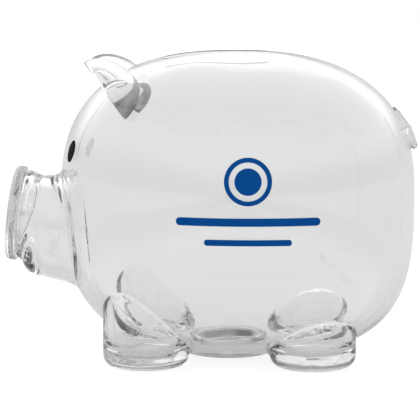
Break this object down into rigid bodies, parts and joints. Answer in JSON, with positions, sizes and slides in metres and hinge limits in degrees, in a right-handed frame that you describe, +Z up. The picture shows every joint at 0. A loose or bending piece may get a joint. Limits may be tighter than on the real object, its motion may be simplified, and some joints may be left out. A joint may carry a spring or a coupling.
{
  "type": "clear plastic piggy bank",
  "caption": "Clear moulded pig-shaped savings bank with round hollow legs, hooded ears, disc snout, curled tail, a coin slot in the back and a pull-out belly stopper.",
  "frame": {"origin": "on the floor under the seam, midway between the snout's front and the tail's end", "axes": "the pig faces -X, +Z is up, and its left side, which carries the print, is -Y"},
  "size_m": [0.1392, 0.0988, 0.1038],
  "materials": {
    "clear_plastic": "clear, polished, injection moulded polystyrene",
    "stopper_plastic": "milky, slightly soft polyethylene",
    "black_ink": "pad-printed black ink",
    "blue_ink": "pad-printed blue ink"
  },
  "bodies": {
    "root": {"left_shell": "clear_plastic", "right_shell": "clear_plastic", "snout_plate": "clear_plastic", "left_ear": "clear_plastic", "right_ear": "clear_plastic", "tail": "clear_plastic", "left_eye": "black_ink", "right_eye": "black_ink", "print_coin_ring": "blue_ink", "print_coin_disc": "blue_ink", "print_bar_long": "blue_ink", "print_bar_short": "blue_ink"},
    "stopper": {"stopper": "stopper_plastic"}
  },
  "joints": [
    {"name": "stopper_pull", "type": "slide", "parent": "root", "child": "stopper", "axis": [0, 0, -1], "range_m": [0, 0.012]}
  ]
}
